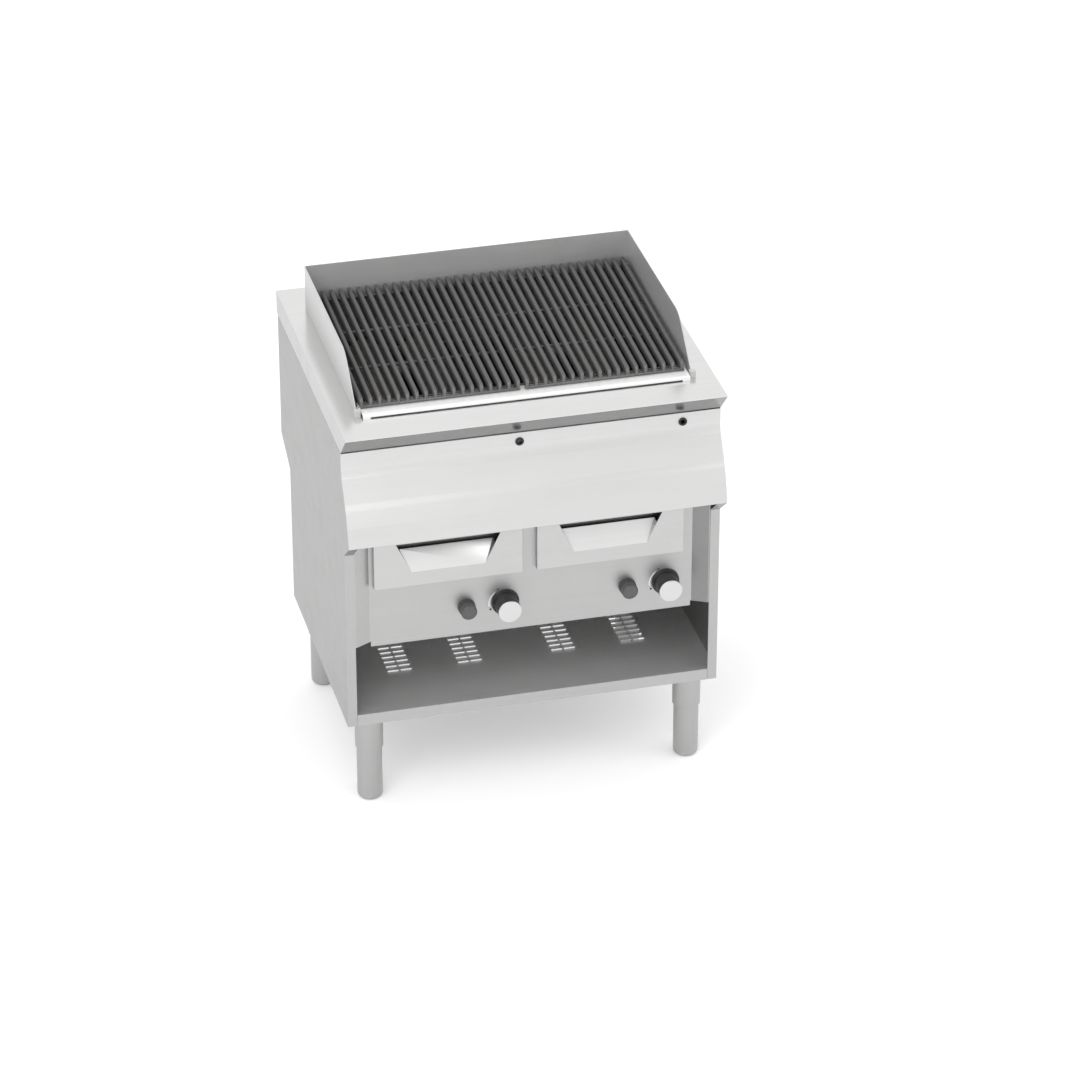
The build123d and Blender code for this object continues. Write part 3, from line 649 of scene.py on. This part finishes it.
def leg_sleeve_tubes():
    """Upper leg tubes with rolled lower lips, on chamfered square plates."""
    shape = bmesh.new()
    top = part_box("leg_sleeves")[1][2]
    corners = [(3.0, 27.08), (3.0, 30.0), (75.6, 30.0), (76.6, 29.0), (76.6, 27.08), (60.0, 27.08),
               (3.0, 27.08)]
    profile = mm(soften(corners, (0.4, 0.5, 0.5, 0.5, 0.4)))
    for end in ("front", "rear"):
        for name in ("left", "right"):
            middle = centre_of(f"leg_foot_{end}_{name}")
            lathe(shape, profile, (middle.x, middle.y, top), (0, 0, -1), 96)
            outline = plate_outline(middle)
            upper = [shape.verts.new((x, y, top)) for x, y in outline]
            lower = [shape.verts.new((x, y, top - PLATE_THICKNESS)) for x, y in outline]
            join(shape, lower, upper)
    mesh = mesh_from("leg_sleeve_tubes", shape)
    made = piece("leg_sleeve_tubes", mesh, leg_steel, "frame", ["leg_sleeves"])
    crisp(made)


def foot(end, name):
    """Adjustable lower tube of a leg, with a groove above its tapered tip."""
    node = f"leg_foot_{end}_{name}"
    middle = centre_of(node)
    bottom = (middle.x, middle.y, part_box(node)[0][2])
    corners = [(0.0, 0.0), (0.0, 21.0), (6.0, 26.6), (9.0, 26.6), (9.5, 26.2), (10.5, 26.2), (11.0, 27.0),
               (189.0, 27.0), (190.0, 26.0), (190.0, 0.0)]
    profile = mm(soften(corners, (2.0, 3.0, 0.2, 0.2, 0.2, 0.4, 0.5, 0.5)))
    mesh = turned(node + "_tube", profile, bottom, (0, 0, 1), 96)
    made = piece(node + "_tube", mesh, leg_steel, f"foot_{end}_{name}", [node])
    crisp(made)


def back_screws():
    """Pan-head screws with a star recess, down both edges of the back panel."""
    groups = {}
    for vert in nodes["back_panel_screws"].data.vertices:
        key = (vert.co.x > 0, round(vert.co.z / SCREW_BAND))
        groups.setdefault(key, []).append(vert.co.copy())
    head = soften([(0.0, 4.5), (1.1, 4.5), (2.4, 2.6)], (0.6,))
    profile = mm([(0.0, 0.0)] + head + [(2.4, 1.8), (1.2, 1.5), (1.2, 0.0)])
    recess = (len(profile) - 3, len(profile) - 2)

    def rim(angle, step):
        """The recess's two rings wave in and out four times, as a star."""
        return 0.6 * MM * math.cos(4 * angle) if step in recess else 0.0

    shape = bmesh.new()
    for points in groups.values():
        xs, ys, zs = zip(*points)
        middle = ((min(xs) + max(xs)) / 2, min(ys), (min(zs) + max(zs)) / 2)
        lathe(shape, profile, middle, (0, 1, 0), 48, rim)
    mesh = mesh_from("back_screw_heads", shape)
    made = piece("back_screw_heads", mesh, screw_steel, "frame", ["back_panel_screws"])
    crisp(made)


# ---------------------------------------------------------------------------------------
# Paint on the CAD nodes whose shape is already right
# ---------------------------------------------------------------------------------------

paint = {
    "worktop": worktop_steel, "fascia_panel": fascia_steel, "control_panel": control_steel,
    "drawer_front_left": drawer_steel, "drawer_front_right": drawer_steel,
    "side_panel_left": side_steel, "side_panel_right": side_steel, "back_panel": back_steel,
    "base_shelf": shelf_steel, "compartment_ceiling": shelf_steel,
    "splash_guard": guard_steel, "fat_gutter": gutter_steel,
    "leg_channels": hidden_steel, "leg_bolts": screw_steel,
    "drawer_tray_left": tray_steel, "drawer_tray_right": tray_steel,
    "drawer_rails_left": plated_steel, "drawer_rails_right": plated_steel,
    "rear_cross_member": plated_steel, "firebox": hidden_steel,
    "burner_rails": plated_steel, "radiant_rails": hot_steel,
    "burner_left": hot_steel, "burner_right": hot_steel,
    "radiants_left": hot_steel, "radiants_right": hot_steel,
    "gas_manifold": plated_steel, "inlet_locknut": brass, "injectors": brass,
    "gas_valve_left": brass, "gas_valve_right": brass, "supply_tubes": spindle_steel,
    "valve_spindle_left": spindle_steel, "valve_spindle_right": spindle_steel,
    "valve_plunger_left": spindle_steel, "valve_plunger_right": spindle_steel,
    "igniter_body_left": body_black, "igniter_body_right": body_black,
    "ignition_leads": red_sleeve, "thermocouples": copper, "electrodes": ceramic,
    "sight_bushes": bush_black,
}
for name, material in paint.items():
    nodes[name].data.materials.clear()
    nodes[name].data.materials.append(material)

for name in ("worktop", "fascia_panel", "drawer_front_left", "drawer_front_right", "side_panel_left",
             "side_panel_right", "back_panel", "splash_guard", "fat_gutter"):
    bevel(nodes[name])


for name, side in (("left", -1), ("right", 1)):
    grate_half(name, side)
    knob_grip(name)
    cap_disc(name)
    push_button(name)
    turn_marks(name)
    for end in ("front", "rear"):
        foot(end, name)
collars()
bezels()
leg_sleeve_tubes()
back_screws()


# ---------------------------------------------------------------------------------------
# Floor, light and camera
# ---------------------------------------------------------------------------------------

# The floor lies a hair below the feet.
FLOOR_REACH, FLOOR_DROP = 40.0, 0.5 * MM

# Softboxes: name, place, size and power. Both are aimed at the middle of the body.
LAMPS = (("key", (-1.8, -2.6, 3.0), (2.2, 2.2), 45.0), ("fill", (3.2, -1.5, 2.2), (2.0, 2.0), 15.0))
LAMP_AIM = (0, 0, 0.6)

# The camera stands where the whole grill is seen from the front left and from above.
CAMERA_AT = (-2.0182, -8.2845, 5.2965)
CAMERA_AIM = (0.0798, -0.0435, 0.44055)
CAMERA_LENS = 153.0


def floor():
    """A wide pale floor."""
    shape = bmesh.new()
    bmesh.ops.create_grid(shape, x_segments=8, y_segments=8, size=FLOOR_REACH)
    mesh = bpy.data.meshes.new("floor")
    shape.to_mesh(mesh)
    made = bpy.data.objects.new("floor", mesh)
    made.location.z = -FLOOR_DROP
    bpy.context.scene.collection.objects.link(made)
    s = Shader("floor_paint")
    mesh.materials.append(s.finish(Base_Color=grey(0.93), Roughness=0.9, Specular_IOR_Level=0.1,
                                   Emission_Color=grey(1.0), Emission_Strength=0.14))


def sky():
    """A pale studio dome, brightest overhead."""
    world = bpy.data.worlds.new("studio")
    bpy.context.scene.world = world
    world.use_nodes = True
    tree = world.node_tree
    place = tree.nodes.new("ShaderNodeTexCoord")
    split = tree.nodes.new("ShaderNodeSeparateXYZ")
    ramp = tree.nodes.new("ShaderNodeValToRGB")
    tree.links.new(place.outputs["Generated"], split.inputs["Vector"])
    tree.links.new(split.outputs["Z"], ramp.inputs["Fac"])
    tree.links.new(ramp.outputs["Color"], tree.nodes["Background"].inputs["Color"])
    stops = ramp.color_ramp.elements
    stops[0].position, stops[0].color = 0.0, grey(0.80)
    stops[1].position, stops[1].color = 1.0, grey(1.0)
    middle = stops.new(0.45)
    middle.color = grey(1.0)
    tree.nodes["Background"].inputs["Strength"].default_value = 1.05


def aimed(made, place, aim):
    """Puts a lamp or camera at a place, looking at another, and into the scene."""
    made.location = place
    made.rotation_mode = "QUATERNION"
    made.rotation_quaternion = (Vector(aim) - Vector(place)).to_track_quat("-Z", "Y")
    bpy.context.scene.collection.objects.link(made)


def lamp(name, place, size, power):
    """A large square softbox."""
    light = bpy.data.lights.new(name, "AREA")
    light.shape = "RECTANGLE"
    light.size, light.size_y = size
    light.energy = power
    aimed(bpy.data.objects.new(name, light), place, LAMP_AIM)


def camera():
    """The camera, aimed once and with no shift."""
    lens = bpy.data.cameras.new("camera")
    lens.lens = CAMERA_LENS
    lens.sensor_width = 36.0
    lens.clip_end = 100.0
    made = bpy.data.objects.new("camera", lens)
    aimed(made, CAMERA_AT, CAMERA_AIM)
    bpy.context.scene.camera = made


floor()
sky()
for settings in LAMPS:
    lamp(*settings)
camera()
bpy.context.scene.view_settings.view_transform = "Standard"
